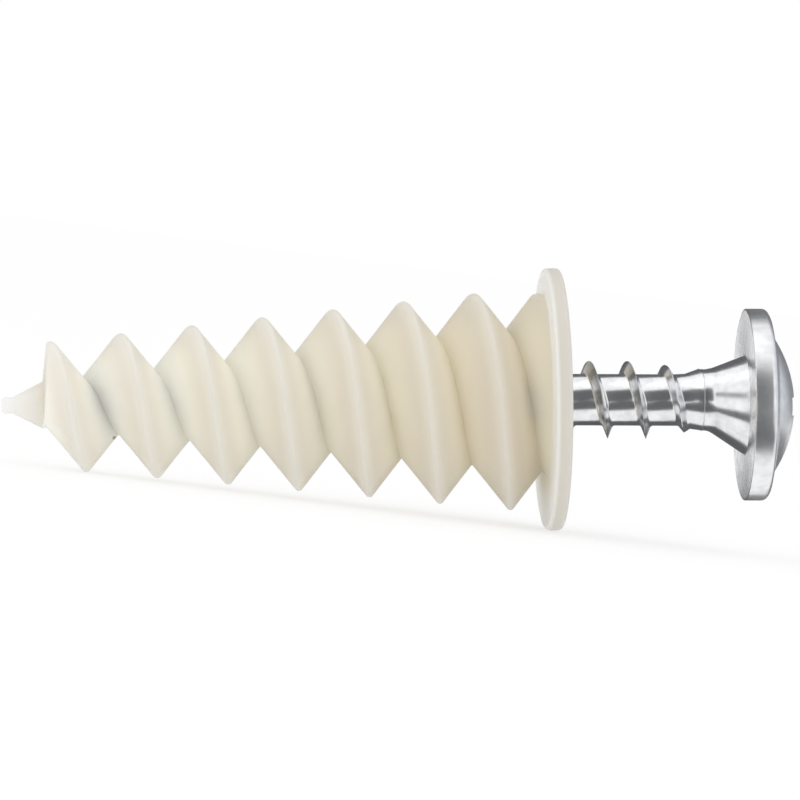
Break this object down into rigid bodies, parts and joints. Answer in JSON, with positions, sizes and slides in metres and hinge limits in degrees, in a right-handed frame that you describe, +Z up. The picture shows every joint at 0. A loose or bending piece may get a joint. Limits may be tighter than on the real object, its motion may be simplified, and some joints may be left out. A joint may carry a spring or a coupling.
{
  "type": "wall plug",
  "caption": "Self-drilling plasterboard wall plug in ivory nylon with a coarse tapered thread and a flange, and a pan-head wood screw turned part of the way in.",
  "frame": {"origin": "centre of the bounding box, at its base: the surface that the fixing lies on", "axes": "+X from the plug's drill tip towards the screw's head, +Z up, +Y to the left of someone who looks along +X; the pieces' own axis rises 7.9 degrees towards the head"},
  "size_m": [0.045, 0.015, 0.0149],
  "materials": {
    "nylon": "satin ivory nylon, slightly translucent",
    "zinc_plated_steel": "bright zinc plating"
  },
  "bodies": {
    "root": {"plug": "nylon", "screw": "zinc_plated_steel"}
  },
  "joints": []
}
